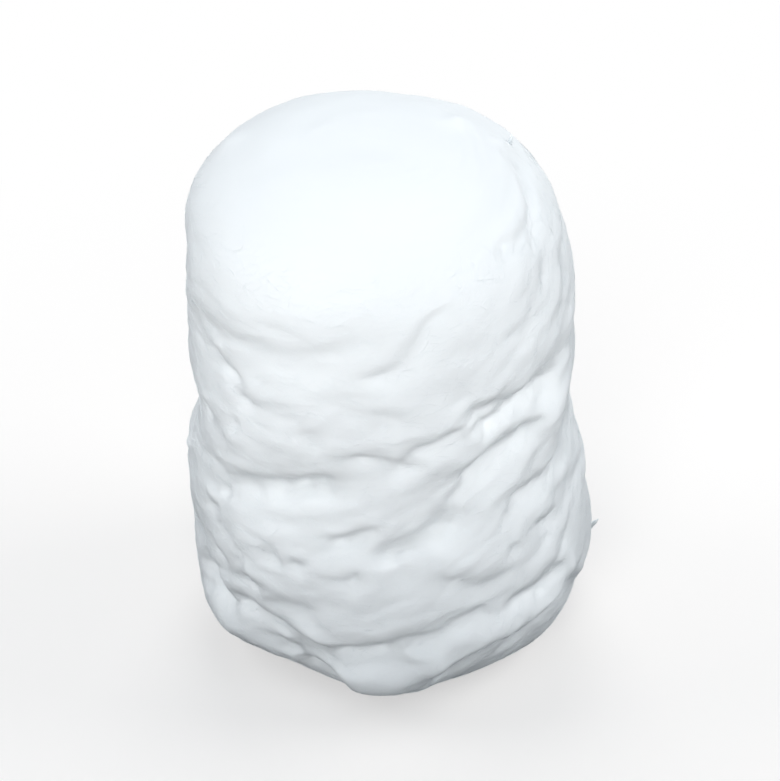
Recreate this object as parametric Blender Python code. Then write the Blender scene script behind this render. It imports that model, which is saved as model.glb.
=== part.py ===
"""Roll of cotton wool: one long lap of carded cotton, wound up on itself and stood on its end.

The lap is one piece, so the roll is one solid. Both ends show the lap's turns as a spiral,
and the side carries the lap's free end, a waist and the folds that winding leaves in soft wool.
Lengths are in metres. Angles round the roll are in degrees from the front (-Y), rising towards +X.
"""

import math
import random
from dataclasses import dataclass

import bmesh
import bpy

# The roll as a whole. The turns' grooves fade out over the last turns before the core, and a ring of
# points stands that share of the way in from the core's boundary.
ROLL_DIAMETER = 0.110
ROLL_HEIGHT = 0.1515
LAP_THICKNESS = 0.0105
CORE_RADIUS = 0.003
CORE_FADE_TURNS = 2.6
CORE_RING_SHARE = 0.45

# How the ends round off, and how deep the turns show in them.
TOP_SHOULDER = 0.030
FOOT_SHOULDER = 0.025
TOP_CROWN = 0.0015
TOP_GROOVE = 0.0022
FOOT_GROOVE = 0.0013

# The lap's free end: its thickness in each end of the roll, how far it stands proud of the side at
# the top and at the foot, and where it runs: down the front, with a bend across the upper part.
FREE_END_TOP_THICKNESS = 0.0105
FREE_END_FOOT_THICKNESS = 0.0020
FREE_END_TOP_STEP = 0.0024
FREE_END_FOOT_STEP = 0.0004
FREE_END_BEVEL = 0.0046
FREE_END_TOP_ANGLE = 54.0
FREE_END_FOOT_ANGLE = 5.0
FREE_END_BEND_HEIGHT = 0.136
FREE_END_BEND_LENGTH = 0.034

# The slack of a soft roll: a waist, and a top that is narrower and leans to the left.
WAIST_DEPTH = 0.0026
WAIST_HEIGHT = 0.073
WAIST_LENGTH = 0.011
TOP_LEAN = 0.0055
TOP_TAPER = 0.0045

# How far the folds reach onto the ends, how much of a fold's length it takes to fade in or out, and
# where the lip above a fold stands and how wide it is, both in widths of the bank above.
FOLD_FADE = 0.008
FOLD_ENDING = 0.25
LIP_PLACE = 2.1
LIP_WIDTH = 1.2

# The folds of the back are like those of the front. Ranges are drawn from.
BACK_FOLDS = 18
BACK_FOLD_ANGLES = (88.0, 278.0)
BACK_FOLD_LEVELS = (0.16, 0.84)
BACK_FOLD_HALF_ANGLES = (17.0, 36.0)
BACK_FOLD_CLIMBS = (-0.02, 0.09)
BACK_FOLD_DEPTHS = (0.0016, 0.0028)
BACK_FOLD_BANKS = (0.0044, 0.0058)
BACK_FOLD_SAGS = (-0.003, 0.004)
BACK_FOLD_LIPS = (0.0, 0.001)
BACK_SEED = 11

# How finely the surface is divided.
STEPS_PER_TURN = 80
FULL_STEP_TURNS = 2
SIDE_ROWS = 48

WOOL_COLOUR = (0.90, 0.92, 0.93, 1.0)
WOOL_ROUGHNESS = 1.0

# The plain roll's outline: foot, foot shoulder, side, top shoulder, top. Its length is measured from
# the foot's middle to the top's middle.
ROLL_RADIUS = ROLL_DIAMETER / 2
FOOT_FLAT = ROLL_RADIUS - FOOT_SHOULDER
TOP_FLAT = ROLL_RADIUS - TOP_SHOULDER
FOOT_ARC = FOOT_SHOULDER * math.pi / 2
TOP_ARC = TOP_SHOULDER * math.pi / 2
SIDE = ROLL_HEIGHT - FOOT_SHOULDER - TOP_SHOULDER
OUTLINE = FOOT_FLAT + FOOT_ARC + SIDE + TOP_ARC + TOP_FLAT


def mix(first, second, share):
    return first + (second - first) * share


def smooth_step(value):
    """0 below 0, 1 above 1, and a smooth rise between."""
    share = min(max(value, 0.0), 1.0)
    return share * share * (3.0 - 2.0 * share)


def hump(value):
    """1 at 0, fading to nothing on both sides."""
    return math.exp(-(value ** 2))


def outline(path):
    """Radius, height and outward normal (radial, upward) that far along the plain roll's outline."""
    if path <= FOOT_FLAT:
        return path, 0.0, 0.0, -1.0
    path -= FOOT_FLAT
    if path < FOOT_ARC:
        turn = path / FOOT_SHOULDER
        radius = FOOT_FLAT + FOOT_SHOULDER * math.sin(turn)
        return radius, FOOT_SHOULDER * (1.0 - math.cos(turn)), math.sin(turn), -math.cos(turn)
    path -= FOOT_ARC
    if path <= SIDE:
        return ROLL_RADIUS, FOOT_SHOULDER + path, 1.0, 0.0
    path -= SIDE
    if path < TOP_ARC:
        turn = path / TOP_SHOULDER
        radius = TOP_FLAT + TOP_SHOULDER * math.cos(turn)
        return radius, ROLL_HEIGHT - TOP_SHOULDER * (1.0 - math.sin(turn)), math.cos(turn), math.sin(turn)
    return TOP_FLAT + TOP_ARC - path, ROLL_HEIGHT, 0.0, 1.0


def round_the_roll(angle, centre):
    """The way round the side from one angle to another, the shorter way."""
    return math.radians((angle - centre + 180.0) % 360.0 - 180.0) * ROLL_RADIUS


@dataclass
class Fold:
    """A crease across the side, from one place to another, with a bank above it and one below.

    A place is an angle round the roll and a level, as a share of the roll's height: on the shoulders
    the level goes on along the outline. The line between the places may bow down by a sag. The bank
    above is on the left of the line's direction. Beyond it the wool swells by the lip.
    """

    start: tuple
    end: tuple
    depth: float
    above: float
    below: float
    sag: float = 0.0
    lip: float = 0.0

    def sunk(self, angle, level):
        """How deep the fold sinks the surface at that angle and level."""
        run = math.radians(self.end[0] - self.start[0]) * ROLL_RADIUS
        rise = (self.end[1] - self.start[1]) * ROLL_HEIGHT
        across = round_the_roll(angle, (self.start[0] + self.end[0]) / 2) + run / 2
        up = (level - self.start[1]) * ROLL_HEIGHT
        length = math.hypot(run, rise)
        along = (across * run + up * rise) / length ** 2
        if not 0.0 < along < 1.0:
            return 0.0
        bow = self.sag * 4.0 * along * (1.0 - along)
        off = (up * run - across * rise) / length + bow
        strength = smooth_step(along / FOLD_ENDING) * smooth_step((1.0 - along) / FOLD_ENDING)
        bank = hump(off / (self.above if off > 0.0 else self.below))
        lip = hump((off / self.above - LIP_PLACE) / LIP_WIDTH)
        return strength * (self.depth * bank - self.lip * lip)


@dataclass
class Swell:
    """A soft swelling of the side, or with a negative height a hollow, at an angle and a level."""

    angle: float
    level: float
    height: float
    half_width: float
    half_height: float

    def sunk(self, angle, level):
        across = round_the_roll(angle, self.angle) / self.half_width
        up = (level - self.level) * ROLL_HEIGHT / self.half_height
        return -self.height * hump(across) * hump(up)


FRONT_FOLDS = (
    # Under the cap that the top's edge makes, and along the lap's free edge.
    Fold((-82, 0.751), (2, 0.828), depth=0.0014, above=0.0044, below=0.0065, sag=0.0058, lip=0.0004),
    Fold((-4, 0.742), (26, 0.915), depth=0.0012, above=0.0042, below=0.0042),
    Fold((55, 0.785), (72, 0.950), depth=0.0010, above=0.0042, below=0.0042),
    # Across the waist.
    Fold((20, 0.678), (78, 0.654), depth=0.0022, above=0.0044, below=0.0052, lip=0.0006),
    Fold((-84, 0.709), (-30, 0.601), depth=0.0017, above=0.0042, below=0.0050, sag=-0.0022),
    Fold((-16, 0.559), (36, 0.604), depth=0.0014, above=0.0042, below=0.0042),
    # The long fold that climbs to the right, and the two that branch off below it.
    Fold((-9, 0.348), (70, 0.694), depth=0.0022, above=0.0044, below=0.0060, sag=-0.0020, lip=0.0008),
    Fold((27, 0.403), (74, 0.487), depth=0.0020, above=0.0042, below=0.0050, lip=0.0006),
    Fold((32, 0.358), (80, 0.362), depth=0.0016, above=0.0042, below=0.0045),
    # The left of the middle.
    Fold((-62, 0.424), (-6, 0.530), depth=0.0022, above=0.0046, below=0.0075, lip=0.0006),
    Fold((-27, 0.392), (9, 0.430), depth=0.0017, above=0.0042, below=0.0042),
    # Round the lower part, in long arcs.
    Fold((-62, 0.150), (35, 0.248), depth=0.0022, above=0.0044, below=0.0046, sag=0.0048, lip=0.0005),
    Fold((-72, 0.222), (-12, 0.222), depth=0.0016, above=0.0042, below=0.0042, sag=0.0030),
    Fold((-86, 0.300), (-42, 0.154), depth=0.0015, above=0.0042, below=0.0042, sag=0.0020),
    Fold((21, 0.224), (62, 0.284), depth=0.0018, above=0.0042, below=0.0042),
    # Where the side turns under to the foot.
    Fold((-22, 0.129), (16, 0.153), depth=0.0014, above=0.0040, below=0.0040),
    Fold((6, 0.078), (106, 0.160), depth=0.0036, above=0.0050, below=0.0120, lip=0.0008),
)

SWELLS = (
    # The lip of wool at the front of the foot, and the hollow beside it.
    Swell(-4, 0.080, height=0.0030, half_width=0.016, half_height=0.010),
    Swell(-36, 0.080, height=-0.0042, half_width=0.015, half_height=0.014),
    # The left side, from the foot up.
    Swell(-66, 0.120, height=0.0012, half_width=0.012, half_height=0.012),
    Swell(-90, 0.170, height=-0.0013, half_width=0.030, half_height=0.014),
    Swell(-90, 0.400, height=0.0018, half_width=0.026, half_height=0.016),
    Swell(-92, 0.810, height=0.0012, half_width=0.030, half_height=0.014),
    # The right side, from the foot up.
    Swell(72, 0.130, height=0.0012, half_width=0.016, half_height=0.012),
    Swell(92, 0.500, height=-0.0024, half_width=0.034, half_height=0.016),
    # The edge of the top, on the right, at the back and on the left.
    Swell(95, 0.930, height=-0.0024, half_width=0.036, half_height=0.024),
    Swell(170, 1.000, height=-0.0022, half_width=0.030, half_height=0.016),
)


def back_folds():
    """Folds round the back, spread evenly: each next one stands a golden share further round."""
    draw = random.Random(BACK_SEED)
    golden_share = (math.sqrt(5.0) - 1.0) / 2.0
    folds = []
    for index in range(BACK_FOLDS):
        angle = mix(*BACK_FOLD_ANGLES, (index * golden_share) % 1.0)
        level = mix(*BACK_FOLD_LEVELS, (index + 0.5) / BACK_FOLDS)
        half = draw.uniform(*BACK_FOLD_HALF_ANGLES)
        climb = draw.uniform(*BACK_FOLD_CLIMBS)
        depth = draw.uniform(*BACK_FOLD_DEPTHS)
        above = draw.uniform(*BACK_FOLD_BANKS)
        below = draw.uniform(above, 2.0 * above)
        sag = draw.uniform(*BACK_FOLD_SAGS)
        lip = draw.uniform(*BACK_FOLD_LIPS)
        start = (angle - half, level - climb)
        end = (angle + half, level + climb)
        folds.append(Fold(start, end, depth, above, below, sag, lip))
    return folds


SLACK = (*FRONT_FOLDS, *back_folds(), *SWELLS)


@dataclass
class End:
    """One end of the roll, where the lap's turns show.

    A way is a distance from the end's middle along the outline. The shares across the lap, from its
    outer to its inner boundary, say where a section has its points, and each lift is how far that
    point rises from the groove, 1 being flush with the outline.
    """

    is_top: bool
    shoulder: float
    groove: float
    free_end: float
    across: tuple

    @property
    def turns(self):
        """How many turns the lap makes from its free end to the core."""
        return (ROLL_RADIUS - self.free_end - CORE_RADIUS) / LAP_THICKNESS

    def path(self, way):
        return OUTLINE - way if self.is_top else way

    def groove_depth(self, turns):
        return self.groove * smooth_step((self.turns - turns) / CORE_FADE_TURNS)

    def groove_way(self, turns):
        """The way of the lap's inner boundary, that many turns from its free end."""
        radius = ROLL_RADIUS - self.free_end - LAP_THICKNESS * turns
        flat = ROLL_RADIUS - self.shoulder
        if radius <= flat:
            return radius
        return flat + self.shoulder * math.asin((radius - flat) / self.shoulder)

    def outer_way(self, turns):
        """The way of the lap's outer boundary: the rim of the side in the first turn."""
        if turns >= 1.0:
            return self.groove_way(turns - 1.0)
        return self.groove_way(0.0) + self.free_end * (1.0 - turns)

    def section_path(self, turns, share):
        """How far along the outline that share across the lap stands."""
        return self.path(mix(self.outer_way(turns), self.groove_way(turns), share))


TOP = End(
    is_top=True, shoulder=TOP_SHOULDER, groove=TOP_GROOVE, free_end=FREE_END_TOP_THICKNESS,
    across=((0.22, 0.8), (0.5, 1.0), (0.78, 0.8), (1.0, 0.0)),
)
FOOT = End(
    is_top=False, shoulder=FOOT_SHOULDER, groove=FOOT_GROOVE, free_end=FREE_END_FOOT_THICKNESS,
    across=((0.25, 1.0), (0.75, 1.0), (1.0, 0.0)),
)


def free_end_share(height):
    """0 where the lap's free end lies pressed to the side, 1 at the top, and a rise at the bend."""
    return smooth_step(0.5 + (height - FREE_END_BEND_HEIGHT) / FREE_END_BEND_LENGTH)


def column_angle(height, turns):
    """The angle of a column of points: it bends as the free end does, and less the further from it."""
    bend = (FREE_END_TOP_ANGLE - FREE_END_FOOT_ANGLE) * free_end_share(height)
    nearness = 0.5 + 0.5 * math.cos(math.tau * turns)
    return FREE_END_FOOT_ANGLE + bend * nearness + 360.0 * turns


def girth(height, covered):
    """What the side's radius gains or loses there by the waist, the taper and the lap's free end.

    The turns that the lap has covered there go from -1 at the free end to 0 at its toe, where the
    lap goes on inwards. The free end's step shrinks to nothing over the next turn.
    """
    waist = WAIST_DEPTH * hump((height - WAIST_HEIGHT) / WAIST_LENGTH)
    taper = TOP_TAPER * height / ROLL_HEIGHT
    step = mix(FREE_END_FOOT_STEP, FREE_END_TOP_STEP, free_end_share(height))
    lifted = -0.5 - covered if covered < 0.0 else -0.5 * max(1.0 - covered, 0.0)
    return step * lifted - waist - taper


def slack(path, angle):
    """How deep the folds and the swellings sink the side there. They fade out on both ends."""
    level = (path - FOOT_FLAT - FOOT_ARC + FOOT_SHOULDER) / ROLL_HEIGHT
    from_flat = min(path - FOOT_FLAT, OUTLINE - TOP_FLAT - path)
    fade = smooth_step(1.0 + from_flat / FOLD_FADE)
    if fade == 0.0:
        return 0.0
    return fade * sum(shape.sunk(angle, level) for shape in SLACK)


def surface_point(path, turns, share=0.0, sunk=0.0):
    """The point of the roll that far along its outline, that share across the lap, sunk that deep."""
    radius, height, normal_out, normal_up = outline(path)
    angle = column_angle(height, turns)
    sunk += slack(path, angle)
    radius += girth(height, turns - 1.0 + share) * radius / ROLL_RADIUS
    height -= TOP_CROWN * (radius / ROLL_RADIUS) ** 2 * height / ROLL_HEIGHT
    radius -= sunk * normal_out
    height -= sunk * normal_up
    lean = TOP_LEAN * (height / ROLL_HEIGHT) ** 2
    turned = math.radians(angle)
    return radius * math.sin(turned) - lean, -radius * math.cos(turned), height


def station_turns(station):
    """The turns to a station. A turn's first is at the free end and its last at the free end's toe."""
    whole, column = divmod(station, STEPS_PER_TURN)
    toe = 1.0 - FREE_END_BEVEL / (math.tau * ROLL_RADIUS)
    return whole + toe * column / (STEPS_PER_TURN - 1)


def side_path(row, turns):
    """How far along the outline a row of the side stands: the first and last are the ends' rims."""
    return mix(FOOT.outer_way(turns), TOP.path(TOP.outer_way(turns)), row / SIDE_ROWS)


def add_side(mesh):
    """The side as columns of points, from the free end round to its toe. They are returned."""
    columns = []
    for station in range(STEPS_PER_TURN):
        turns = station_turns(station)
        places = [surface_point(side_path(row, turns), turns) for row in range(SIDE_ROWS + 1)]
        columns.append([mesh.verts.new(place) for place in places])
    for left, right in zip(columns, columns[1:]):
        for row in range(SIDE_ROWS):
            mesh.faces.new((left[row], right[row], right[row + 1], left[row + 1]))
    return columns


def section_stations(end):
    """The stations of the sections across the lap. Near the core it is every other one."""
    stations = [0]
    while True:
        following = stations[-1] + (1 if stations[-1] < FULL_STEP_TURNS * STEPS_PER_TURN else 2)
        if station_turns(following) >= end.turns:
            return stations
        stations.append(following)


def join_to_chain(mesh, first, second, chain):
    """Faces between two points and a chain of two or more, half of it to the one, half to the other."""
    if len(chain) == 2:
        mesh.faces.new((first, *chain, second))
        return
    half = len(chain) // 2
    for near, far in zip(chain[:half], chain[1:half + 1]):
        mesh.faces.new((first, near, far))
    mesh.faces.new((first, chain[half], second))
    for near, far in zip(chain[half:], chain[half + 1:]):
        mesh.faces.new((second, near, far))


def add_end(mesh, end, rim):
    """One end: a ribbon that follows the lap from its free end to the core, turn within turn.

    The points of the free end's own section are returned.
    """
    stations = section_stations(end)
    edge = dict(enumerate(rim))
    sections = []
    for station in stations:
        turns = station_turns(station)
        section = [edge[station]]
        for share, lift in end.across:
            sunk = end.groove_depth(turns) * (1.0 - lift)
            place = surface_point(end.section_path(turns, share), turns, share, sunk)
            section.append(mesh.verts.new(place))
        edge[station + STEPS_PER_TURN] = section[-1]
        sections.append(section)
    for index, (first, second) in enumerate(zip(sections, sections[1:])):
        skipped = range(stations[index] + 1, stations[index + 1])
        between = [edge[station] for station in skipped if station in edge]
        join_to_chain(mesh, first[1], second[1], [first[0], *between, second[0]])
        for inner in range(1, len(end.across)):
            mesh.faces.new((first[inner + 1], first[inner], second[inner], second[inner + 1]))
    add_core(mesh, end, edge, stations[-1], sections[-1])
    return sections[0][1:]


def add_core(mesh, end, edge, last, last_section):
    """The lap's inner end, curled up in the middle of the ribbon's last turn."""
    last_turn = range(last, last + STEPS_PER_TURN + 1)
    curl = [edge[station] for station in last_turn if station in edge]
    boundary = curl + last_section[-2:0:-1]
    quarter_on = station_turns(last) + 0.25
    middle = mesh.verts.new(surface_point(end.path(CORE_RADIUS / 2), quarter_on))
    ring = []
    for vert in boundary:
        place = vert.co.lerp(middle.co, CORE_RING_SHARE)
        ring.append(mesh.verts.new((place.x, place.y, middle.co.z)))
    for index, (first, second) in enumerate(zip(boundary, boundary[1:] + boundary[:1])):
        inner_first, inner_second = ring[index], ring[(index + 1) % len(ring)]
        mesh.faces.new((first, second, inner_second, inner_first))
        mesh.faces.new((inner_first, inner_second, middle))


def add_free_end(mesh, columns, foot_section, top_section):
    """The step at the lap's free end: it joins the toe's column to the free end's, in step."""
    toe_turns = station_turns(STEPS_PER_TURN - 1)
    toe = [(side_path(row, toe_turns), point) for row, point in enumerate(columns[-1])]
    edge = [(side_path(row, 0.0), point) for row, point in enumerate(columns[0])]
    for end, section in ((FOOT, foot_section), (TOP, top_section)):
        edge += [(end.section_path(0.0, share), point) for (share, _), point in zip(end.across, section)]
    edge.sort(key=lambda entry: entry[0])
    low, high = 0, 0
    while low + 1 < len(toe) or high + 1 < len(edge):
        toe_next = toe[low + 1] if low + 1 < len(toe) else (math.inf, None)
        edge_next = edge[high + 1] if high + 1 < len(edge) else (math.inf, None)
        if toe_next[0] <= edge_next[0]:
            mesh.faces.new((toe[low][1], edge[high][1], toe_next[1]))
            low += 1
        else:
            mesh.faces.new((toe[low][1], edge[high][1], edge_next[1]))
            high += 1


def centre_over_origin(mesh):
    """Moves the roll sideways until the box round it is centred on the Z axis."""
    for axis in (0, 1):
        values = [vert.co[axis] for vert in mesh.verts]
        middle = (min(values) + max(values)) / 2
        for vert in mesh.verts:
            vert.co[axis] -= middle


def wool_material():
    wool = bpy.data.materials.new("cotton_wool")
    wool.use_nodes = True
    shader = wool.node_tree.nodes["Principled BSDF"]
    shader.inputs["Base Color"].default_value = WOOL_COLOUR
    shader.inputs["Roughness"].default_value = WOOL_ROUGHNESS
    shader.inputs["Metallic"].default_value = 0.0
    return wool


def cotton_roll():
    mesh = bmesh.new()
    columns = add_side(mesh)
    foot_section = add_end(mesh, FOOT, [column[0] for column in columns])
    top_section = add_end(mesh, TOP, [column[-1] for column in columns])
    add_free_end(mesh, columns, foot_section, top_section)
    centre_over_origin(mesh)
    bmesh.ops.triangulate(mesh, faces=mesh.faces, quad_method="FIXED")
    bmesh.ops.recalc_face_normals(mesh, faces=mesh.faces)
    data = bpy.data.meshes.new("cotton_roll")
    mesh.to_mesh(data)
    mesh.free()
    data.shade_smooth()
    data.materials.append(wool_material())
    roll = bpy.data.objects.new("cotton_roll", data)
    bpy.context.scene.collection.objects.link(roll)


def main():
    for item in list(bpy.data.objects):
        bpy.data.objects.remove(item, do_unlink=True)
    cotton_roll()


if __name__ == "__main__":
    main()
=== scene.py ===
"""Looks of a roll of cotton wool: one soft mass of carded wool with folds, nap and loose fibres."""
import math
from collections import namedtuple

import bmesh
import bpy
import numpy as np
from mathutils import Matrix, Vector
from mathutils.bvhtree import BVHTree


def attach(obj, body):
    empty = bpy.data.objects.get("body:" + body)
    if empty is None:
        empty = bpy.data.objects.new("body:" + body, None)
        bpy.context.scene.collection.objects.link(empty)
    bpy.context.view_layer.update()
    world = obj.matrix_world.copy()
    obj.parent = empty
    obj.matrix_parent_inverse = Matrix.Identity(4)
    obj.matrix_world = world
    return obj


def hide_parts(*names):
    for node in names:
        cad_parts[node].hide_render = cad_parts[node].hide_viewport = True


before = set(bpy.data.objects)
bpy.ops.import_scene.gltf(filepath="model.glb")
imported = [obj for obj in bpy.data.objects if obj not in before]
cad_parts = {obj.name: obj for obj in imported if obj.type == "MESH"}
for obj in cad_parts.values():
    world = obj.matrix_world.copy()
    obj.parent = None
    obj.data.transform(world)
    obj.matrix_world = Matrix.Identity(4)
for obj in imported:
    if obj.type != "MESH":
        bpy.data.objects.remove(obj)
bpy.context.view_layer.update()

# The roll's own measures, as in the solids.
RADIUS = 0.055
HEIGHT = 0.1515
TOP_SHOULDER = 0.030
FOOT_SHOULDER = 0.025
TOP_LEAN = 0.0055
AXIS_X, AXIS_Y = 0.0006, 0.0005
FOOT_FLAT = RADIUS - FOOT_SHOULDER
FOOT_ARC = FOOT_SHOULDER * math.pi / 2
SIDE = HEIGHT - FOOT_SHOULDER - TOP_SHOULDER
TOP_ARC = TOP_SHOULDER * math.pi / 2

# The wool's surface: its even faces, and how often they are smoothed, on the top more often than elsewhere.
VOXEL = 0.00094
SMOOTHINGS = 90
TOP_SMOOTHINGS = 120
TOP_FROM, TOP_TO = 0.95, 1.10

# How far the smoothed folds slide down, and the levels at which that starts, is full, fades and ends.
SLIP = 0.0015
SLIP_START, SLIP_FULL, SLIP_FADES, SLIP_END = 0.10, 0.25, 0.75, 0.90

# How steeply the streaks climb everywhere, and how much more they do round the front's right side, with the
# middle and the reach of that part in degrees.
CLIMB, CLIMB_MORE = 0.16, 0.34
CLIMB_MIDDLE, CLIMB_REACH = 36.0, 34.0

# Behind the roll the streaks from its right side blend into those from its left side, between these angles.
SEAM_START, SEAM_END = 150.0, 210.0

# Share of the radius at which the streaks start to climb, and at which they climb in full.
FLAT_SHARE, STEEP_SHARE = 0.3, 0.9

# Fine creases of the front and of the top's right edge, each by the line of its shadow: its points from left
# to right, as angle from the front in degrees and level, then its depth and the width of its upper bank.
Crease = namedtuple("Crease", "path depth width")
FRONT_CREASES = [
    Crease([(-78, .726), (-53, .749), (-36, .749), (-17, .785), (-2, .826)], .00018, .0016),
    Crease([(-38, .814), (-24, .805), (-17, .810)], .00020, .0018),
    Crease([(-66, .704), (-59, .688), (-52, .673), (-42, .673)], .00050, .0016),
    Crease([(-53, .638), (-45, .637), (-37, .618)], .00060, .0020),
    Crease([(-72, .551), (-62, .540)], .00050, .0016),
    Crease([(-51, .576), (-46, .559)], .00040, .0014),
    Crease([(-27, .601), (-14, .602)], .00040, .0022),
    Crease([(-14, .560), (-4, .574), (5, .568), (11, .598), (27, .618)], .00070, .0018),
    Crease([(-3, .675), (9, .653)], .00030, .0020),
    Crease([(-52, .448), (-40, .467), (-31, .482), (-22, .507), (-12, .518)], .00090, .0026),
    Crease([(-45, .449), (-31, .471), (-23, .498)], .00040, .0014),
    Crease([(-67, .356), (-57, .352)], .00050, .0011),
    Crease([(-59, .406), (-53, .402)], .00050, .0016),
    Crease([(-6, .740), (4, .761), (11, .803), (16, .853), (25, .887)], .00050, .0017),
    Crease([(20, .773), (35, .794)], .00025, .0018),
    Crease([(37, .775), (48, .776), (55, .820)], .00030, .0020),
    Crease([(64, .731), (73, .759)], .00030, .0016),
    Crease([(25, .664), (33, .660), (41, .649), (50, .644), (57, .647), (67, .632)], .00130, .0026),
    Crease([(29, .612), (41, .622)], .00100, .0022),
    Crease([(-2, .546), (14, .550)], .00050, .0014),
    Crease([(-34, .078), (-20, .096), (-11, .098)], .00230, .0030),
    Crease([(-70, .238), (-61, .190), (-50, .154)], .00170, .0030),
    Crease([(11, .427), (22, .436), (33, .444)], .00070, .0030),
    Crease([(9, .080), (15, .103), (21, .120)], .00190, .0028),
    Crease([(-35, .141), (-24, .143), (-13, .152)], .00180, .0028),
    Crease([(57, .197), (67, .207)], .00080, .0020),
    Crease([(20, .502), (27, .526), (34, .547), (43, .560), (58, .571)], .00130, .0022),
    Crease([(17, .469), (23, .484), (27, .498)], .00070, .0014),
    Crease([(-6, .362), (0, .392), (9, .416), (16, .447), (24, .468)], .00130, .0023),
    Crease([(38, .433), (45, .442), (52, .444), (67, .463)], .00080, .0016),
    Crease([(56, .395), (74, .388)], .00050, .0016),
    Crease([(72, .465), (84, .475)], .00050, .0016),
    Crease([(-21, .394), (-12, .403), (-7, .415), (1, .428)], .00080, .0012),
    Crease([(-52, .291), (-45, .300)], .00040, .0016),
    Crease([(-43, .317), (-32, .352)], .00060, .0020),
    Crease([(-31, .333), (-23, .328)], .00050, .0014),
    Crease([(-14, .317), (-6, .336)], .00040, .0016),
    Crease([(-67, .274), (-59, .259), (-52, .230)], .00080, .0018),
    Crease([(-51, .253), (-44, .243), (-38, .237)], .00090, .0018),
    Crease([(-58, .185), (-44, .180), (-29, .178), (-19, .161), (-10, .171), (5, .191)], .00100, .0016),
    Crease([(2, .189), (12, .204), (18, .231)], .00060, .0016),
    Crease([(-41, .210), (-33, .231), (-27, .234), (-18, .243)], .00050, .0020),
    Crease([(-68, .173), (-57, .158), (-49, .144)], .00060, .0018),
    Crease([(-39, .113), (-27, .112)], .00060, .0016),
    Crease([(-17, .111), (-6, .137), (2, .139), (12, .137)], .00040, .0014),
    Crease([(-3, .337), (14, .337)], .00050, .0022),
    Crease([(12, .334), (22, .310), (28, .291), (37, .299), (45, .297)], .00050, .0020),
    Crease([(32, .216), (41, .236), (50, .246), (62, .266)], .00150, .0026),
    Crease([(14, .215), (23, .228), (29, .228), (36, .215)], .00050, .0016),
    Crease([(45, .355), (53, .357), (61, .359)], .00070, .0016),
    Crease([(38, .349), (45, .324)], .00050, .0014),
    Crease([(12, .096), (22, .139), (32, .151), (43, .154), (55, .176), (69, .216)], .00170, .0025),
    Crease([(44, .953), (62, .952), (75, .965), (85, .994), (100, 1.019)], .00060, .0016),
    Crease([(59, .900), (72, .950)], .00040, .0016),
    Crease([(58, .802), (65, .878)], .00040, .0016),
    Crease([(71, .750), (77, .833)], .00040, .0016),
]

# Small puffs and dents of the front and of the top's edge: angle, level, half length, half width, tilt in
# degrees, height.
Puff = namedtuple("Puff", "angle level long wide tilt height")
FRONT_PUFFS = [
    Puff(-24, .440, .0160, .0040, 8, .0006),
    Puff(47, .494, .0150, .0045, 45, .0014),
    Puff(61, .500, .0180, .0062, 62, .0024),
    Puff(-56, .472, .0150, .0062, -3, .0020),
    Puff(-16, .430, .0200, .0045, 6, .0010),
    Puff(-52, .068, .0220, .0060, -5, .0016),
    Puff(3, .212, .0140, .0050, 5, .0008),
    Puff(-6, .083, .0140, .0050, 5, .0016),
    Puff(-55, .648, .0160, .0040, -38, .0009),
    Puff(-50, .532, .0100, .0048, -20, .0009),
    Puff(-84, .392, .0022, .0018, 0, .0011),
    Puff(70, .110, .0200, .0110, 20, .0008),
    Puff(-45, .210, .0050, .0030, 0, .0007),
    Puff(43, .199, .0060, .0035, 15, .0009),
    Puff(-44, .658, .0070, .0028, -10, .0005),
    Puff(-45, .271, .0070, .0016, -18, .0006),
    Puff(-64, .372, .0026, .0018, 0, .0007),
    Puff(-50, .206, .0150, .0070, -18, -.0012),
    Puff(-109, 1.002, .0075, .0050, 15, .0010),
    Puff(121, 1.085, .0065, .0042, 0, .0014),
    Puff(106, 1.016, .0034, .0028, 0, .0010),
]

# Creases of the rest of the side, drawn at random. Steps of the golden share spread them evenly.
BACK_CREASES = 56
GOLDEN_SHARE, BACK_SCATTER = 0.618, 0.07
BACK_SLOPE, BACK_SLOPE_SPREAD = 0.16, 0.12
BACK_BEND = 0.012
BACK_ANGLE = (84.0, 270.0)
BACK_LEVEL = (0.08, 0.86)
BACK_LENGTH = (0.014, 0.044)
BACK_DEPTH = (0.0003, 0.0009)
BACK_WIDTH = (0.0018, 0.0034)

# How much deeper and wider the front's creases are than in the list, because the nap and the light inside
# the wool soften them.
FRONT_DEEPER, FRONT_WIDER = 1.95, 1.2

# A crease's form: how far it reaches in widths, how it fades towards its ends, how far its valley lies below
# the line of its shadow, how much wider its lower bank is, and the height, place and width of the bulge over
# its upper bank.
CREASE_REACH = 6.0
FADE_SHARE, FADE_MOST = 0.45, 0.007
VALLEY_DROP = 0.7
LOWER_BANK = 2.0
BULGE, BULGE_PLACE, BULGE_WIDTH = 0.3, 2.2, 1.5

# The loose relief: size along and across the streaks, or one size, and height.
LUMP_SIZE, LUMP_HEIGHT = 0.017, 0.00030
ROLL_LONG, ROLL_WIDE, ROLL_HEIGHT = 0.015, 0.0052, 0.00052
RIDGE_LONG, RIDGE_WIDE, RIDGE_HEIGHT = 0.020, 0.0068, 0.00026
FINE_LONG, FINE_WIDE, FINE_HEIGHT = 0.010, 0.0034, 0.00006
TUFT_SIZE, TUFT_HEIGHT = 0.0030, 0.00003

# Grooves run where the noise is nil: how wide they are in it and how high the ridges between them stand. The
# larger ridges are broken off in patches of this size, where another noise is low.
GROOVE, RIDGE = 0.22, 0.30
FINE_GROOVE, FINE_RIDGE = 0.30, 0.25
BROKEN_SIZE = 0.013
BROKEN, WHOLE = -0.25, 0.45

# Strength of the finer of the two layers in the rolls' noise and in the ridges' noise.
FAINTER = 0.35

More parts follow.
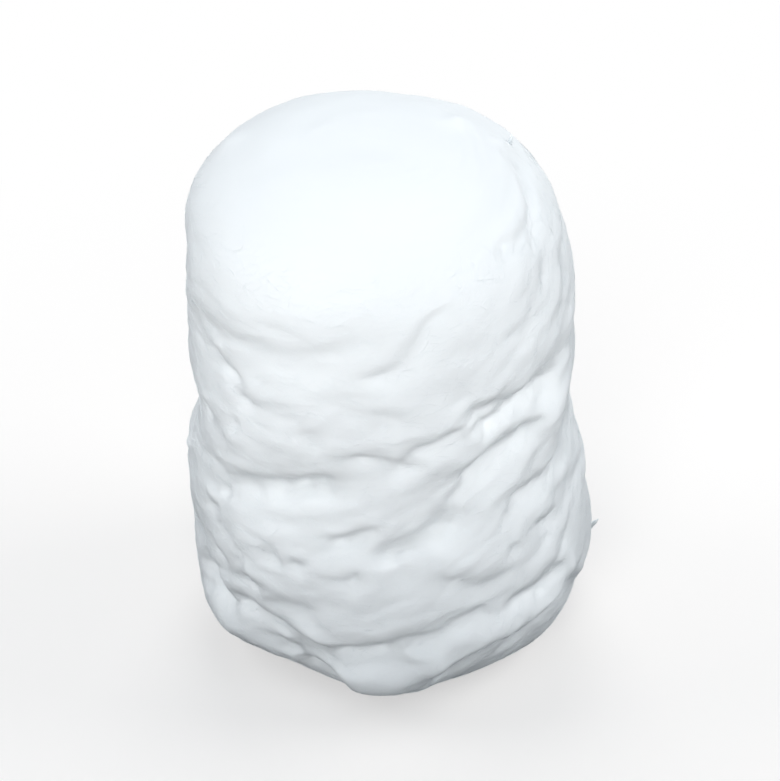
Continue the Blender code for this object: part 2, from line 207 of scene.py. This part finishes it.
# How far the streaks and the creases stray from their lines, and how much the creases' depth varies.
WANDER_SIZE, WANDER = 0.024, 0.0022
WOBBLE_SIZE, WOBBLE = 0.0065, 0.0007
DRIFT_SIZE, DRIFT = 0.0065, 0.0008
WANDER_OF_CREASES = 0.35
UNEVEN_SIZE, UNEVEN = 0.009, 0.4

# Levels between which the relief fades out at the foot, and gets weaker on the cap and on the top.
FOOT_FROM, FOOT_TO = -0.04, 0.05
CAP_FROM, CAP_TO, CAP_LOSS = 0.66, 0.76, 0.5
CROWN_FROM, CROWN_TO, CROWN_LOSS = 0.92, 1.08, 0.25

# Loose fibres: how many pieces of them, how many fibres in each, their points, length, radius and lift, how
# deep their ends are in the wool, the heights between which they start, the spread of their headings, their
# curl, and their taper.
FIBRE_PIECES = 3
FIBRES = 5000
FIBRE_POINTS = 7
FIBRE_LENGTH = (0.005, 0.015)
FIBRE_RADIUS = 0.000024
FIBRE_LIFT = (0.00002, 0.00024)
FIBRE_ROOT = 0.0003
FIBRE_LOW, FIBRE_HIGH = 0.004, 0.136
FIBRE_SPREAD = 0.35
FIBRE_CURL = 0.16
FIBRE_TAPER = 0.12

# Wisps that stand out: name, angle, level, length, radius at the root, lean round and up, and curl.
Wisp = namedtuple("Wisp", "name angle level length radius round up curl")
WISPS = [
    Wisp("wisp_low", 88, .190, .0042, .00115, 0.1, 0.7, 60),
    Wisp("wisp_high", 112, .985, .0028, .00085, -0.1, 0.5, 20),
]
WISP_POINTS = 10
WISP_SIDES = 8
WISP_ROOT = 0.0012
WISP_THINNING, WISP_FORM = 0.85, 1.6
WISP_KNOTS, WISP_WAVES = 0.12, 19.0


# Helpers for meshes and noise.

def make_object(name, mesh):
    item = bpy.data.objects.new(name, mesh)
    bpy.context.scene.collection.objects.link(item)
    return item


def coordinates(mesh):
    values = np.empty(len(mesh.vertices) * 3)
    mesh.vertices.foreach_get("co", values)
    return values.reshape(-1, 3)


def put_coordinates(mesh, values):
    mesh.vertices.foreach_set("co", values.ravel())
    mesh.update()


def normals(mesh):
    values = np.empty(len(mesh.vertices) * 3)
    mesh.vertex_normals.foreach_get("vector", values)
    return values.reshape(-1, 3)


def edge_ends(mesh):
    values = np.empty(len(mesh.edges) * 2, dtype=np.int32)
    mesh.edges.foreach_get("vertices", values)
    return values.reshape(-1, 2).T


def smoothed(values, ends, times, share=0.5):
    """Each value moves towards the mean of its neighbours' values."""
    first, second = ends
    count = len(values)
    degree = np.bincount(first, minlength=count) + np.bincount(second, minlength=count)
    flat = values.reshape(count, -1).copy()
    for _ in range(times):
        for column in range(flat.shape[1]):
            line = flat[:, column]
            total = np.bincount(first, line[second], count) + np.bincount(second, line[first], count)
            flat[:, column] = line + share * (total / degree - line)
    return flat.reshape(values.shape)


def smooth_step(low, high, values):
    share = np.clip((values - low) / (high - low), 0.0, 1.0)
    return share * share * (3.0 - 2.0 * share)


class Noise:
    """Gradient noise in three dimensions, about -1 to 1."""

    def __init__(self, seed):
        draw = np.random.default_rng(seed)
        self.order = np.tile(draw.permutation(256), 2)
        slopes = draw.normal(size=(256, 3))
        self.slopes = slopes / np.linalg.norm(slopes, axis=1, keepdims=True)

    def at(self, points):
        cell = np.floor(points).astype(np.int64)
        part = points - cell
        fade = part ** 3 * (part * (part * 6.0 - 15.0) + 10.0)
        cell &= 255
        total = np.zeros(len(points))
        for corner in range(8):
            step = np.array([corner & 1, corner >> 1 & 1, corner >> 2 & 1])
            place = (cell + step) & 255
            pick = self.order[self.order[self.order[place[:, 0]] + place[:, 1]] + place[:, 2]]
            weight = np.prod(np.where(step == 1, fade, 1.0 - fade), axis=1)
            total += weight * np.einsum("ij,ij->i", self.slopes[pick], part - step)
        return total * 1.6

    def layers(self, points, count, gain=0.5):
        total, size, scale = np.zeros(len(points)), 1.0, 1.0
        for layer in range(count):
            total += size * self.at(points * scale + 17.3 * layer)
            size *= gain
            scale *= 2.03
        return total


# Where a point lies on the roll, and how the wool's streaks run there.

def places(points):
    """Angle from the front in degrees, level as in the solids' folds, and distance from the axis."""
    x = points[:, 0] + AXIS_X + TOP_LEAN * (points[:, 2] / HEIGHT) ** 2
    y = points[:, 1] + AXIS_Y
    z = points[:, 2]
    radius = np.hypot(x, y)
    angle = np.degrees(np.arctan2(x, -y))
    foot_turn = np.arctan2(radius - FOOT_FLAT, FOOT_SHOULDER - z)
    top_turn = np.arctan2(z - HEIGHT + TOP_SHOULDER, radius - RADIUS + TOP_SHOULDER)
    path = FOOT_FLAT + FOOT_ARC + z - FOOT_SHOULDER
    on_foot = z < FOOT_SHOULDER
    path = np.where(on_foot, FOOT_FLAT + FOOT_SHOULDER * foot_turn, path)
    path = np.where(on_foot & (radius < FOOT_FLAT), radius, path)
    on_top = z > HEIGHT - TOP_SHOULDER
    path = np.where(on_top, FOOT_FLAT + FOOT_ARC + SIDE + TOP_SHOULDER * top_turn, path)
    flat = on_top & (radius < RADIUS - TOP_SHOULDER)
    path = np.where(flat, FOOT_FLAT + FOOT_ARC + SIDE + TOP_ARC + RADIUS - TOP_SHOULDER - radius, path)
    level = (path - FOOT_FLAT - FOOT_ARC + FOOT_SHOULDER) / HEIGHT
    return angle, level, radius


def climb(angle):
    """Metres that a streak has climbed from the front to that angle. It is steepest at the front's right."""
    more = CLIMB_MORE * CLIMB_REACH * np.tanh((angle - CLIMB_MIDDLE) / CLIMB_REACH)
    return RADIUS * np.radians(CLIMB * angle + more)


def seam(angle):
    """Angles that run on past the back, and the share there of the streaks from the other side."""
    ahead = np.where(angle < SEAM_END - 360.0, angle + 360.0, angle)
    return ahead, smooth_step(SEAM_START, SEAM_END, ahead)


def streak_space(ahead, climbed, level, radius):
    """Points in a space where the streaks run level: metres round, metres round, metres across."""
    turned = np.radians(ahead)
    across = level * HEIGHT - smooth_step(FLAT_SHARE, STEEP_SHARE, radius / RADIUS) * climbed
    return np.stack([radius * np.sin(turned), -radius * np.cos(turned), across], axis=1)


def flowing(noise, where, long, wide, count=1, gain=0.5):
    """Noise drawn out along the streaks."""
    angle, level, radius = where
    ahead, share = seam(angle)
    cell = np.array([long, long, wide])
    near = noise.layers(streak_space(ahead, climb(ahead), level, radius) / cell, count, gain)
    round_back = noise.layers(streak_space(ahead, climb(ahead - 360.0), level, radius) / cell, count, gain)
    return ((1.0 - share) * near + share * round_back) / np.hypot(share, 1.0 - share)


# Creases and puffs.

def smooth_path(points, steps=6):
    """A smooth line through the points."""
    ends = [2 * points[0] - points[1]] + list(points) + [2 * points[-1] - points[-2]]
    line = []
    for before, start, end, after in zip(ends, ends[1:], ends[2:], ends[3:]):
        for t in np.arange(steps) / steps:
            bend = (2 * before - 5 * start + 4 * end - after) * t
            bend = bend + (3 * start - 3 * end + after - before) * t * t
            line.append(start + 0.5 * t * (end - before + bend))
    return np.array(line + [points[-1]])


def along_line(line, spots):
    """Each spot's place along the line, its distance to the left of it, and the line's length."""
    nearest = np.full(len(spots), np.inf)
    along, left = np.zeros(len(spots)), np.zeros(len(spots))
    done = 0.0
    for start, end in zip(line, line[1:]):
        run = end - start
        length = math.hypot(*run)
        offset = spots - start
        share = np.clip(offset @ run / length ** 2, 0.0, 1.0)
        distance = np.linalg.norm(offset - share[:, None] * run, axis=1)
        nearer = distance < nearest
        side = np.sign(run[0] * offset[:, 1] - run[1] * offset[:, 0])
        nearest[nearer] = distance[nearer]
        along[nearer] = done + share[nearer] * length
        left[nearer] = side[nearer] * distance[nearer]
        done += length
    return along, left, done


def unrolled(angle, level, middle):
    """Metres round from the middle angle, and metres up."""
    turned = np.radians((angle - middle + 180.0) % 360.0 - 180.0)
    return np.stack([turned * RADIUS, level * HEIGHT], axis=-1)


def crease_relief(angle, level, creases):
    """The creases' valleys: the bank above is narrow and bulges, the one below is wide."""
    total = np.zeros(len(angle))
    for crease in creases:
        corners = np.array(crease.path, dtype=float)
        middle = corners[:, 0].mean()
        spots = unrolled(angle, level, middle)
        line = smooth_path(unrolled(corners[:, 0], corners[:, 1], middle))
        reach = CREASE_REACH * crease.width
        low, high = line.min(axis=0) - reach, line.max(axis=0) + reach
        pick = np.flatnonzero(np.all((spots > low) & (spots < high), axis=1))
        along, left, length = along_line(line, spots[pick])
        taper = min(FADE_SHARE * length, FADE_MOST)
        fade = smooth_step(0.0, taper, along) * smooth_step(0.0, taper, length - along)
        rise = left + VALLEY_DROP * (crease.width + crease.depth)
        bank = np.where(rise > 0.0, crease.width, LOWER_BANK * crease.width)
        bulge = BULGE * np.exp(-((rise / crease.width - BULGE_PLACE) / BULGE_WIDTH) ** 2)
        total[pick] -= crease.depth * fade * (np.exp(-(rise / bank) ** 2) - bulge)
    return total


def puff_relief(angle, level, puffs):
    total = np.zeros(len(angle))
    for puff in puffs:
        offset = unrolled(angle, level, puff.angle) - np.array([0.0, puff.level * HEIGHT])
        cosine, sine = math.cos(math.radians(puff.tilt)), math.sin(math.radians(puff.tilt))
        along = cosine * offset[:, 0] + sine * offset[:, 1]
        across = cosine * offset[:, 1] - sine * offset[:, 0]
        total += puff.height * np.exp(-(along / puff.long) ** 2 - (across / puff.wide) ** 2)
    return total


def back_creases():
    """Creases that run with the streaks, spread evenly over the side that the front's own don't reach."""
    draw = np.random.default_rng(41)
    creases = []
    for number in range(BACK_CREASES):
        share_round = (number * GOLDEN_SHARE + BACK_SCATTER * draw.random()) % 1.0
        share_up = (number + draw.random()) / BACK_CREASES
        angle = BACK_ANGLE[0] + (BACK_ANGLE[1] - BACK_ANGLE[0]) * share_round
        level = BACK_LEVEL[0] + (BACK_LEVEL[1] - BACK_LEVEL[0]) * share_up
        half = 0.5 * draw.uniform(*BACK_LENGTH)
        turn = math.degrees(half / RADIUS)
        rise = (BACK_SLOPE + draw.normal() * BACK_SLOPE_SPREAD) * half / HEIGHT
        bend = draw.normal() * BACK_BEND
        path = [(angle - turn, level - rise), (angle, level + bend), (angle + turn, level + rise)]
        creases.append(Crease(path, draw.uniform(*BACK_DEPTH), draw.uniform(*BACK_WIDTH)))
    return creases


# The mass of wool.

def base_mesh():
    """The node's mesh in even, fine faces, with the solids' facets smoothed away."""
    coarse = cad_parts["cotton_roll"].data.copy()
    welded = bmesh.new()
    welded.from_mesh(coarse)
    bmesh.ops.remove_doubles(welded, verts=welded.verts, dist=1e-6)
    welded.to_mesh(coarse)
    welded.free()
    holder = make_object("holder", coarse)
    remesh = holder.modifiers.new("even", "REMESH")
    remesh.mode = "VOXEL"
    remesh.voxel_size = VOXEL
    seen = holder.evaluated_get(bpy.context.evaluated_depsgraph_get())
    fine = bpy.data.meshes.new_from_object(seen)
    bpy.data.objects.remove(holder, do_unlink=True)
    fine.name = "wool"
    ends = edge_ends(fine)
    points = smoothed(coordinates(fine), ends, SMOOTHINGS)
    on_top = smooth_step(TOP_FROM, TOP_TO, places(points)[1])[:, None]
    points += on_top * (smoothed(points, ends, TOP_SMOOTHINGS) - points)
    level = places(points)[1]
    slips = smooth_step(SLIP_START, SLIP_FULL, level) * (1.0 - smooth_step(SLIP_FADES, SLIP_END, level))
    points[:, 2] -= SLIP * slips
    put_coordinates(fine, points)
    return fine


def relief(points):
    """How far the wool stands out from the smooth roll, in metres."""
    angle, level, radius = places(points)
    wander = Noise(11).layers(points / WANDER_SIZE, 2) * WANDER
    wander += Noise(12).layers(points / WOBBLE_SIZE, 2) * WOBBLE
    drift = Noise(13).layers(points / DRIFT_SIZE, 2) * DRIFT
    own_level = level + (wander * WANDER_OF_CREASES + drift) / HEIGHT
    own_angle = angle + np.degrees(drift / RADIUS)
    level = level + wander / HEIGHT
    where = angle, level, radius
    lumps = Noise(3).layers(points / LUMP_SIZE, 2)
    rolls = flowing(Noise(5), where, ROLL_LONG, ROLL_WIDE, 2, FAINTER)
    lines = flowing(Noise(7), where, RIDGE_LONG, RIDGE_WIDE, 2, FAINTER)
    fine_lines = flowing(Noise(8), where, FINE_LONG, FINE_WIDE)
    tufts = Noise(9).layers(points / TUFT_SIZE, 2)
    whole = smooth_step(BROKEN, WHOLE, Noise(15).layers(points / BROKEN_SIZE, 2))
    ridged = whole * (RIDGE - np.exp(-(lines / GROOVE) ** 2))
    fine_ridged = FINE_RIDGE - np.exp(-(fine_lines / FINE_GROOVE) ** 2)
    # The cap is smoother than the side, and the top is smoother still.
    rough = 1.0 - CAP_LOSS * smooth_step(CAP_FROM, CAP_TO, level)
    rough -= CROWN_LOSS * smooth_step(CROWN_FROM, CROWN_TO, level)
    loose = ROLL_HEIGHT * rolls + RIDGE_HEIGHT * ridged + FINE_HEIGHT * fine_ridged + TUFT_HEIGHT * tufts
    uneven = 1.0 + UNEVEN * Noise(17).layers(points / UNEVEN_SIZE, 2)
    front = [crease._replace(depth=FRONT_DEEPER * crease.depth, width=FRONT_WIDER * crease.width)
             for crease in FRONT_CREASES]
    made = crease_relief(own_angle, own_level, front + back_creases())
    made = uneven * made + puff_relief(own_angle, own_level, FRONT_PUFFS)
    return smooth_step(FOOT_FROM, FOOT_TO, level) * (LUMP_HEIGHT * lumps + rough * loose + made)


# The nap's strands and the fuzz on them, in metres, and the wool's colour where it is thin and where it is
# thick.
NAP_LONG, NAP_WIDE, NAP_DEPTH = 0.0090, 0.0012, 0.0006
FUZZ_SIZE, FUZZ_DEPTH = 0.0013, 0.0004
THIN_COLOUR, THICK_COLOUR = (0.868, 0.920, 0.942, 1.0), (0.902, 0.942, 0.952, 1.0)

# A loose fibre's two colours, and the size of the patches in which they change.
FIBRE_DARK, FIBRE_PALE = (0.90, 0.945, 0.96, 1.0), (0.95, 0.97, 0.975, 1.0)
FIBRE_PATCH = 0.004


def wool_material():
    wool = bpy.data.materials.new("cotton_wool")
    wool.use_nodes = True
    nodes, links = wool.node_tree.nodes, wool.node_tree.links
    shader = nodes["Principled BSDF"]
    streak = nodes.new("ShaderNodeAttribute")
    streak.attribute_name = "streak"
    drawn_out = nodes.new("ShaderNodeVectorMath")
    drawn_out.operation = "MULTIPLY"
    drawn_out.inputs[1].default_value = (1.0 / NAP_LONG, 1.0 / NAP_LONG, 1.0 / NAP_WIDE)
    links.new(streak.outputs["Vector"], drawn_out.inputs[0])
    nap = nodes.new("ShaderNodeTexNoise")
    nap.inputs["Scale"].default_value = 1.0
    nap.inputs["Detail"].default_value = 4.0
    nap.inputs["Roughness"].default_value = 0.6
    links.new(drawn_out.outputs[0], nap.inputs["Vector"])
    place = nodes.new("ShaderNodeTexCoord")
    fuzz = nodes.new("ShaderNodeTexNoise")
    fuzz.inputs["Scale"].default_value = 1.0 / FUZZ_SIZE
    fuzz.inputs["Detail"].default_value = 3.0
    fuzz.inputs["Roughness"].default_value = 0.65
    links.new(place.outputs["Object"], fuzz.inputs["Vector"])
    combed, fluffy = nodes.new("ShaderNodeBump"), nodes.new("ShaderNodeBump")
    combed.inputs["Strength"].default_value = 0.7
    combed.inputs["Distance"].default_value = NAP_DEPTH
    fluffy.inputs["Strength"].default_value = 0.6
    fluffy.inputs["Distance"].default_value = FUZZ_DEPTH
    links.new(nap.outputs["Fac"], combed.inputs["Height"])
    links.new(fuzz.outputs["Fac"], fluffy.inputs["Height"])
    links.new(combed.outputs["Normal"], fluffy.inputs["Normal"])
    links.new(fluffy.outputs["Normal"], shader.inputs["Normal"])
    tone = nodes.new("ShaderNodeValToRGB")
    thin, thick = tone.color_ramp.elements
    thin.position, thick.position = 0.30, 0.62
    thin.color, thick.color = THIN_COLOUR, THICK_COLOUR
    links.new(nap.outputs["Fac"], tone.inputs["Fac"])
    links.new(tone.outputs["Color"], shader.inputs["Base Color"])
    shader.inputs["Roughness"].default_value = 1.0
    shader.inputs["Specular IOR Level"].default_value = 0.1
    shader.inputs["Subsurface Weight"].default_value = 0.4
    shader.inputs["Subsurface Radius"].default_value = (1.0, 1.0, 1.0)
    shader.inputs["Subsurface Scale"].default_value = 0.0020
    shader.inputs["Sheen Weight"].default_value = 0.15
    shader.inputs["Sheen Roughness"].default_value = 0.6
    return wool


def fibre_material():
    """A little paler than the wool, and without nap and light inside it: a fibre is too thin for them."""
    fibre = bpy.data.materials.new("cotton_fibre")
    fibre.use_nodes = True
    nodes, links = fibre.node_tree.nodes, fibre.node_tree.links
    shader = nodes["Principled BSDF"]
    place = nodes.new("ShaderNodeTexCoord")
    patches = nodes.new("ShaderNodeTexNoise")
    patches.inputs["Scale"].default_value = 1.0 / FIBRE_PATCH
    links.new(place.outputs["Object"], patches.inputs["Vector"])
    tone = nodes.new("ShaderNodeValToRGB")
    dark, pale = tone.color_ramp.elements
    dark.color, pale.color = FIBRE_DARK, FIBRE_PALE
    links.new(patches.outputs["Fac"], tone.inputs["Fac"])
    links.new(tone.outputs["Color"], shader.inputs["Base Color"])
    shader.inputs["Roughness"].default_value = 1.0
    shader.inputs["Specular IOR Level"].default_value = 0.1
    shader.inputs["Sheen Weight"].default_value = 0.3
    shader.inputs["Sheen Roughness"].default_value = 0.6
    return fibre


def give_streaks(mesh, where):
    """Keeps each point's place in the streaks' space for the material."""
    angle, level, radius = where
    ahead, share = seam(angle)
    climbed = (1.0 - share) * climb(ahead) + share * climb(ahead - 360.0)
    kept = mesh.attributes.new("streak", "FLOAT_VECTOR", "POINT")
    kept.data.foreach_set("vector", streak_space(ahead, climbed, level, radius).ravel())


def wool_piece(wool):
    mesh = base_mesh()
    points = coordinates(mesh)
    points = points + normals(mesh) * relief(points)[:, None]
    points[:, 2] = np.maximum(points[:, 2], 0.0)
    put_coordinates(mesh, points)
    give_streaks(mesh, places(points))
    mesh.shade_smooth()
    mesh.materials.append(wool)
    roll = make_object("wool_roll", mesh)
    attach(roll, "root")
    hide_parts("cotton_roll")
    return roll


# Loose fibres and wisps.

def tubes(paths, radii, sides):
    """One mesh of closed tubes. Paths go by tube, point and coordinate, and radii by tube and point."""
    count, points = paths.shape[:2]
    run = np.gradient(paths, axis=1)
    run /= np.linalg.norm(run, axis=2, keepdims=True)
    first = np.cross(run, np.array([0.31, 0.17, 0.93]))
    first /= np.linalg.norm(first, axis=2, keepdims=True)
    second = np.cross(run, first)
    corners = []
    for side in range(sides):
        turn = 2.0 * math.pi * side / sides
        corners.append(paths + radii[..., None] * (math.cos(turn) * first + math.sin(turn) * second))
    corners = np.stack(corners, axis=2).reshape(-1, 3)
    faces = []
    for tube in range(count):
        start = tube * points * sides
        for ring in range(points - 1):
            low = start + ring * sides
            for side in range(sides):
                after = (side + 1) % sides
                faces.append((low + side, low + after, low + sides + after, low + sides + side))
        faces.append(tuple(range(start + sides - 1, start - 1, -1)))
        last = start + (points - 1) * sides
        faces.append(tuple(range(last, last + sides)))
    mesh = bpy.data.meshes.new("fibres")
    mesh.from_pydata(corners.tolist(), [], faces)
    mesh.shade_smooth()
    return mesh


def add_piece(name, mesh, fibre):
    mesh.materials.append(fibre)
    item = make_object(name, mesh)
    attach(item, "root")


def fibre_paths(tree, points, outward, seed):
    """Fibres that lie along the streaks, each with both ends in the wool and its middle lifted off it."""
    draw = np.random.default_rng(seed)
    high_enough = (points[:, 2] > FIBRE_LOW) & (points[:, 2] < FIBRE_HIGH)
    starts = draw.choice(np.flatnonzero(high_enough), FIBRES, replace=False)
    angle = places(points[starts])[0]
    steepness = np.gradient(climb(np.arange(-180.0, 181.0)), math.radians(1.0) * RADIUS)
    slopes = np.interp(angle, np.arange(-180.0, 181.0), steepness)
    paths = np.empty((FIBRES, FIBRE_POINTS, 3))
    for number, start in enumerate(starts):
        spot, normal = Vector(points[start]), Vector(outward[start])
        turned = math.radians(angle[number])
        heading = math.atan(slopes[number]) + draw.normal() * FIBRE_SPREAD
        level_way = Vector((math.cos(turned), math.sin(turned), 0.0))
        way = math.cos(heading) * level_way + math.sin(heading) * normal.cross(level_way)
        step = draw.uniform(*FIBRE_LENGTH) / (FIBRE_POINTS - 1)
        lift, curl = draw.uniform(*FIBRE_LIFT), draw.normal() * FIBRE_CURL
        for place in range(FIBRE_POINTS):
            arch = math.sin(math.pi * place / (FIBRE_POINTS - 1))
            paths[number, place] = spot + normal * (arch * (lift + FIBRE_ROOT) - FIBRE_ROOT)
            way = (way + curl * normal.cross(way)).normalized()
            spot, normal = tree.find_nearest(spot + way * step)[:2]
            way = (way - way.dot(normal) * normal).normalized()
    paths[..., 2] = np.maximum(paths[..., 2], FIBRE_RADIUS)
    return paths


def fibres(tree, points, outward, fibre):
    share = np.arange(FIBRE_POINTS) / (FIBRE_POINTS - 1)
    taper = np.sin(math.pi * (FIBRE_TAPER + (1.0 - 2.0 * FIBRE_TAPER) * share))
    radii = np.tile(FIBRE_RADIUS * taper, (FIBRES, 1))
    for piece in range(FIBRE_PIECES):
        paths = fibre_paths(tree, points, outward, 60 + piece)
        add_piece("fibres_%d" % (piece + 1), tubes(paths, radii, 3), fibre)


def wisps(points, outward, fibre):
    """Small twisted tips of wool, each with its root in the roll."""
    angle, level, _ = places(points)
    for wisp in WISPS:
        away = np.hypot(*(unrolled(angle, level, wisp.angle) - np.array([0.0, wisp.level * HEIGHT])).T)
        root = int(np.argmin(away))
        normal = Vector(outward[root])
        turned = math.radians(wisp.angle)
        level_way = Vector((math.cos(turned), math.sin(turned), 0.0))
        up = normal.cross(level_way)
        way = (normal + wisp.round * level_way + wisp.up * up).normalized()
        spot = Vector(points[root]) - WISP_ROOT * way
        step = (wisp.length + WISP_ROOT) / (WISP_POINTS - 1)
        path = []
        for _ in range(WISP_POINTS):
            path.append(tuple(spot))
            spot = spot + step * way
            way = (way + math.radians(wisp.curl) / WISP_POINTS * up).normalized()
        share = np.arange(WISP_POINTS) / (WISP_POINTS - 1)
        thinner = 1.0 - WISP_THINNING * share ** WISP_FORM
        radii = wisp.radius * thinner * (1.0 + WISP_KNOTS * np.sin(share * WISP_WAVES))
        add_piece(wisp.name, tubes(np.array([path]), radii[None, :], WISP_SIDES), fibre)


# Floor, lights and camera.

FLOOR_SIZE = 8.0
FLOOR_DROP = 0.0002

# The floor's colour as it is seen, and as it lights the wool. The seen floor turns white between these
# distances from the roll, and nearer to the roll this share of it is white already.
SEEN_COLOUR, LIT_COLOUR = (0.97, 0.93, 0.90, 1.0), (0.08, 0.085, 0.09, 1.0)
WHITER_FROM, WHITE_FROM = 0.07, 0.24
WHITE_SHARE = 0.5


def floor_material():
    paper = bpy.data.materials.new("floor")
    paper.use_nodes = True
    nodes, links = paper.node_tree.nodes, paper.node_tree.links
    nodes.clear()
    output = nodes.new("ShaderNodeOutputMaterial")
    shaded, lit = nodes.new("ShaderNodeBsdfDiffuse"), nodes.new("ShaderNodeBsdfDiffuse")
    shaded.inputs["Color"].default_value = SEEN_COLOUR
    lit.inputs["Color"].default_value = LIT_COLOUR
    bright = nodes.new("ShaderNodeEmission")
    bright.inputs["Color"].default_value = (1.0, 1.0, 1.0, 1.0)
    bright.inputs["Strength"].default_value = 1.0
    place = nodes.new("ShaderNodeTexCoord")
    away = nodes.new("ShaderNodeVectorMath")
    away.operation = "LENGTH"
    links.new(place.outputs["Object"], away.inputs[0])
    whiter = nodes.new("ShaderNodeMapRange")
    whiter.interpolation_type = "SMOOTHSTEP"
    whiter.inputs["From Min"].default_value = WHITER_FROM
    whiter.inputs["From Max"].default_value = WHITE_FROM
    whiter.inputs["To Min"].default_value = WHITE_SHARE
    whiter.inputs["To Max"].default_value = 1.0
    links.new(away.outputs["Value"], whiter.inputs["Value"])
    shown = nodes.new("ShaderNodeMixShader")
    links.new(whiter.outputs["Result"], shown.inputs[0])
    links.new(shaded.outputs[0], shown.inputs[1])
    links.new(bright.outputs[0], shown.inputs[2])
    kind = nodes.new("ShaderNodeLightPath")
    mixed = nodes.new("ShaderNodeMixShader")
    links.new(kind.outputs["Is Camera Ray"], mixed.inputs[0])
    links.new(lit.outputs[0], mixed.inputs[1])
    links.new(shown.outputs[0], mixed.inputs[2])
    links.new(mixed.outputs[0], output.inputs["Surface"])
    return paper


def floor():
    half = FLOOR_SIZE / 2
    mesh = bpy.data.meshes.new("floor")
    corners = [(-half, -half, 0), (half, -half, 0), (half, half, 0), (-half, half, 0)]
    mesh.from_pydata(corners, [], [(0, 1, 2, 3)])
    mesh.materials.append(floor_material())
    item = make_object("floor", mesh)
    item.location.z = -FLOOR_DROP


def look_at(item, place, target):
    item.location = place
    item.rotation_euler = (Vector(target) - Vector(place)).to_track_quat("-Z", "Y").to_euler()


def around(target, azimuth, elevation, distance):
    a, e = math.radians(azimuth), math.radians(elevation)
    offset = Vector((math.sin(a) * math.cos(e), -math.cos(a) * math.cos(e), math.sin(e)))
    return Vector(target) + distance * offset


# The studio's soft blue air, and its warmer lamps: azimuth and elevation in degrees, distance, size, height
# of the spot that the lamp is aimed at, spread in degrees, and power in watts.
WORLD_COLOUR, WORLD_LEVEL = (0.52, 0.76, 1.0, 1.0), 0.19
LAMP_COLOUR = (1.0, 0.995, 0.985)
Lamp = namedtuple("Lamp", "azimuth elevation distance size height spread power")
LAMPS = {
    "front": Lamp(-9, 19, 0.45, 0.26, 0.113, 50, 0.179),
    "left": Lamp(-95, 32, 0.55, 0.40, 0.100, 180, 1.20),
    "right": Lamp(95, 28, 0.55, 0.40, 0.100, 180, 1.86),
    "back": Lamp(180, 42, 0.60, 0.40, 0.100, 180, 1.52),
}


def lights():
    for name, made in LAMPS.items():
        lamp = bpy.data.lights.new(name, "AREA")
        lamp.shape = "DISK"
        lamp.size = made.size
        lamp.spread = math.radians(made.spread)
        lamp.energy = made.power
        lamp.color = LAMP_COLOUR
        item = bpy.data.objects.new(name, lamp)
        bpy.context.scene.collection.objects.link(item)
        spot = (0.0, 0.0, made.height)
        look_at(item, around(spot, made.azimuth, made.elevation, made.distance), spot)
    world = bpy.data.worlds.new("studio")
    world.use_nodes = True
    nodes, links = world.node_tree.nodes, world.node_tree.links
    air = nodes["Background"]
    air.inputs["Color"].default_value = WORLD_COLOUR
    air.inputs["Strength"].default_value = WORLD_LEVEL
    white = nodes.new("ShaderNodeBackground")
    white.inputs["Color"].default_value = (1.0, 1.0, 1.0, 1.0)
    kind = nodes.new("ShaderNodeLightPath")
    either = nodes.new("ShaderNodeMath")
    either.operation = "MAXIMUM"
    links.new(kind.outputs["Is Camera Ray"], either.inputs[0])
    links.new(kind.outputs["Is Glossy Ray"], either.inputs[1])
    mixed = nodes.new("ShaderNodeMixShader")
    links.new(either.outputs[0], mixed.inputs[0])
    links.new(air.outputs[0], mixed.inputs[1])
    links.new(white.outputs[0], mixed.inputs[2])
    links.new(mixed.outputs[0], nodes["World Output"].inputs["Surface"])
    bpy.context.scene.world = world


CAMERA_ELEVATION = 35.0
CAMERA_DISTANCE = 2.0
CAMERA_TARGET = (0.0, 0.0, 0.0721)
CAMERA_LENS = 345.25


def camera():
    data = bpy.data.cameras.new("camera")
    data.sensor_fit = "VERTICAL"
    data.sensor_width = data.sensor_height = 36.0
    data.lens = CAMERA_LENS
    data.clip_end = 50.0
    item = bpy.data.objects.new("camera", data)
    bpy.context.scene.collection.objects.link(item)
    look_at(item, around(CAMERA_TARGET, 0.0, CAMERA_ELEVATION, CAMERA_DISTANCE), CAMERA_TARGET)
    bpy.context.scene.camera = item


# The roll in its studio.

fibre = fibre_material()
roll = wool_piece(wool_material())
surface = coordinates(roll.data)
outward = normals(roll.data)
tree = BVHTree.FromPolygons(surface.tolist(), [tuple(face.vertices) for face in roll.data.polygons])
fibres(tree, surface, outward, fibre)
wisps(surface, outward, fibre)
floor()
lights()
camera()
bpy.context.scene.view_settings.view_transform = "Standard"
